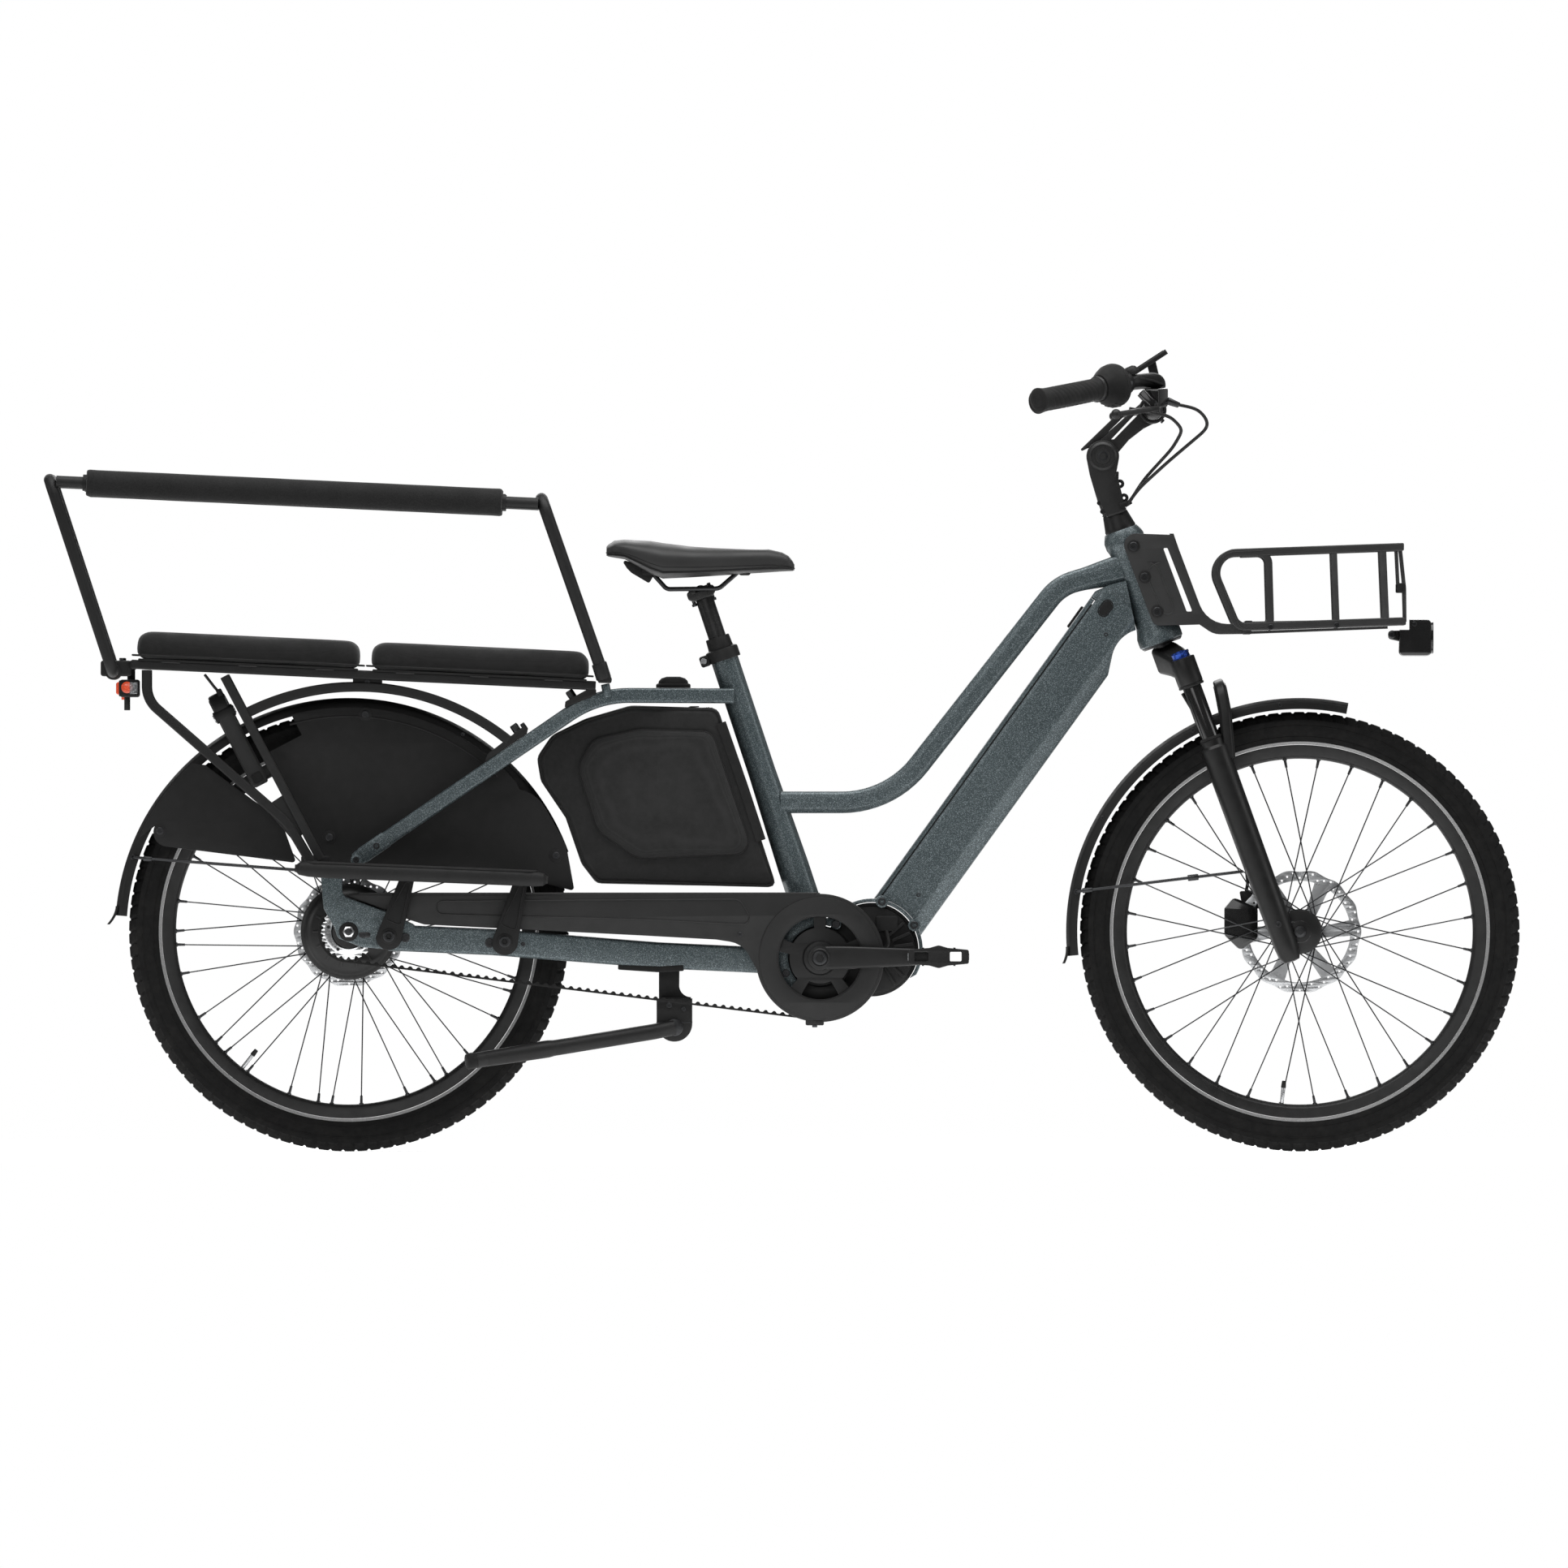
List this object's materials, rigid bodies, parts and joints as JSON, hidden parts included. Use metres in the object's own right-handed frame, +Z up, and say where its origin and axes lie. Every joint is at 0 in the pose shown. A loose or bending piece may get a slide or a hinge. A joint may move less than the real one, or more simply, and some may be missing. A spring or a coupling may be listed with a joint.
{
  "type": "cargo bicycle",
  "caption": "Long-tail electric cargo bicycle with a step-through frame, padded passenger deck inside safety rails, side footboards, frame bag, belt drive and front basket.",
  "frame": {"origin": "on the ground, below the middle of the bicycle's bounding box", "axes": "+X points forwards, towards the front wheel; +Z is up; the drive side is -Y"},
  "size_m": [2.2538, 0.6318, 1.2254],
  "materials": {
    "frame_paint": "satin metallic grey-teal enamel",
    "black_coat": "fine-textured black powder coat",
    "black_plastic": "matte moulded black plastic",
    "gloss_black": "smooth black plastic",
    "black_alloy": "black anodised",
    "tyre_rubber": "moulded tread rubber",
    "reflective_band": "grey reflective tape",
    "grip_rubber": "soft ribbed rubber",
    "foam": "closed-cell foam sleeve",
    "belt_rubber": "toothed belt rubber",
    "hose": "smooth black hose",
    "cushion_cover": "coated dark grey fabric",
    "bag_fabric": "coated charcoal canvas",
    "saddle_cover": "matte synthetic leather",
    "steel": "brushed",
    "rotor_steel": "ground brake track",
    "polished_steel": "polished",
    "red_lens": "moulded red-orange lens",
    "clear_lens": "clear lens",
    "blue_alloy": "blue anodised",
    "screen": "dark display glass"
  },
  "bodies": {
    "frame": {"head_tube": "frame_paint", "seat_tube": "frame_paint", "top_tube": "frame_paint", "down_tube": "frame_paint", "battery_cover": "frame_paint", "motor_housing": "black_coat", "motor_bracket": "frame_paint", "rear_stays": "frame_paint", "chainstays": "frame_paint", "seat_clamp": "black_alloy", "rack_frame": "black_coat", "cushion_rear": "cushion_cover", "cushion_front": "cushion_cover", "safety_rail": "black_coat", "foam_grip_right": "foam", "foam_grip_left": "foam", "rear_mudguard": "black_plastic", "skirt_rear_right": "black_plastic", "skirt_rear_left": "black_plastic", "skirt_front_right": "black_plastic", "skirt_front_left": "black_plastic", "frame_lock": "black_plastic", "tail_light": "black_plastic", "footboard_right": "black_plastic", "footboard_left": "black_plastic", "belt_cover": "black_plastic", "drive_belt": "belt_rubber", "storage_bag": "bag_fabric", "kickstand_bracket": "black_coat", "carrier_bracket": "black_coat", "front_basket": "black_coat"},
    "headlight": {"headlight": "black_plastic"},
    "steering": {"fork_crown": "black_coat", "stem_lower": "black_alloy"},
    "bars": {"stem_upper": "black_alloy", "handlebar": "black_alloy", "grip_left": "grip_rubber", "grip_right": "grip_rubber", "hose_right": "hose", "hose_left": "hose"},
    "twist_shifter": {"twist_shifter": "grip_rubber"},
    "brake_lever_left": {"brake_lever_left": "black_alloy"},
    "brake_lever_right": {"brake_lever_right": "black_alloy"},
    "fork_lowers": {"fork_lowers": "black_coat", "front_mudguard": "black_plastic"},
    "front_wheel": {"front_tyre": "tyre_rubber", "front_rim": "black_alloy", "front_hub": "black_alloy", "front_rotor": "rotor_steel"},
    "rear_wheel": {"rear_tyre": "tyre_rubber", "rear_rim": "black_alloy", "rear_hub": "black_alloy", "rear_rotor": "rotor_steel"},
    "rear_sprocket": {"rear_sprocket": "steel"},
    "crank": {"crankset": "black_alloy"},
    "pedal_right": {"pedal_right": "black_plastic"},
    "pedal_left": {"pedal_left": "black_plastic"},
    "kickstand": {"kickstand_legs": "black_coat"},
    "seatpost": {"seatpost": "black_alloy", "saddle": "saddle_cover"}
  },
  "joints": [
    {"name": "steering_turn", "type": "hinge", "parent": "frame", "child": "steering", "pos_m": [0.5785, 0, 0.7822], "axis": [-0.342, 0, 0.9397], "range_deg": [-50, 50]},
    {"name": "stem_fold", "type": "hinge", "parent": "steering", "child": "bars", "pos_m": [0.49, 0, 1.062], "axis": [0, -1, 0], "range_deg": [0, 35]},
    {"name": "twist_shift", "type": "hinge", "parent": "bars", "child": "twist_shifter", "pos_m": [0.52, -0.178, 1.172], "axis": [-0.7135, -0.6864, -0.1405], "range_deg": [-40, 40]},
    {"name": "brake_pull_left", "type": "hinge", "parent": "bars", "child": "brake_lever_left", "pos_m": [0.57, 0.172, 1.135], "axis": [0, 0, 1], "range_deg": [0, 16], "stiffness_Nm_per_rad": 1.5},
    {"name": "brake_pull_right", "type": "hinge", "parent": "bars", "child": "brake_lever_right", "pos_m": [0.57, -0.172, 1.135], "axis": [0, 0, -1], "range_deg": [0, 16], "stiffness_Nm_per_rad": 1.5},
    {"name": "fork_travel", "type": "slide", "parent": "steering", "child": "fork_lowers", "axis": [-0.342, 0, 0.9397], "range_m": [0, 0.045], "stiffness_N_per_m": 5000, "springref_m": -0.05},
    {"name": "front_wheel_spin", "type": "hinge", "parent": "fork_lowers", "child": "front_wheel", "pos_m": [0.791, 0, 0.336], "axis": [0, 1, 0], "continuous": true},
    {"name": "rear_wheel_spin", "type": "hinge", "parent": "frame", "child": "rear_wheel", "pos_m": [-0.6615, 0, 0.336], "axis": [0, 1, 0], "continuous": true},
    {"name": "crank_spin", "type": "hinge", "parent": "frame", "child": "crank", "pos_m": [0.058, 0, 0.296], "axis": [0, 1, 0], "continuous": true},
    {"name": "rear_sprocket_spin", "type": "hinge", "parent": "frame", "child": "rear_sprocket", "pos_m": [-0.6615, 0, 0.336], "axis": [0, 1, 0], "continuous": true},
    {"name": "pedal_right_spin", "type": "hinge", "parent": "crank", "child": "pedal_right", "pos_m": [0.239, -0.098, 0.298], "axis": [0, 1, 0], "continuous": true},
    {"name": "pedal_left_spin", "type": "hinge", "parent": "crank", "child": "pedal_left", "pos_m": [-0.123, 0.098, 0.298], "axis": [0, 1, 0], "continuous": true},
    {"name": "kickstand_swing", "type": "hinge", "parent": "frame", "child": "kickstand", "pos_m": [-0.164, 0, 0.19], "axis": [0, -1, 0], "range_deg": [0, 125]},
    {"name": "seatpost_slide", "type": "slide", "parent": "frame", "child": "seatpost", "axis": [-0.3148, 0, 0.9492], "range_m": [-0.03, 0.12]},
    {"name": "headlight_tilt", "type": "hinge", "parent": "frame", "child": "headlight", "pos_m": [0.932, 0, 0.79], "axis": [0, 1, 0], "range_deg": [-8, 15]}
  ],
  "couplings": [
    {"joint": "rear_sprocket_spin", "follows": "crank_spin", "ratio": 2.055}
  ]
}
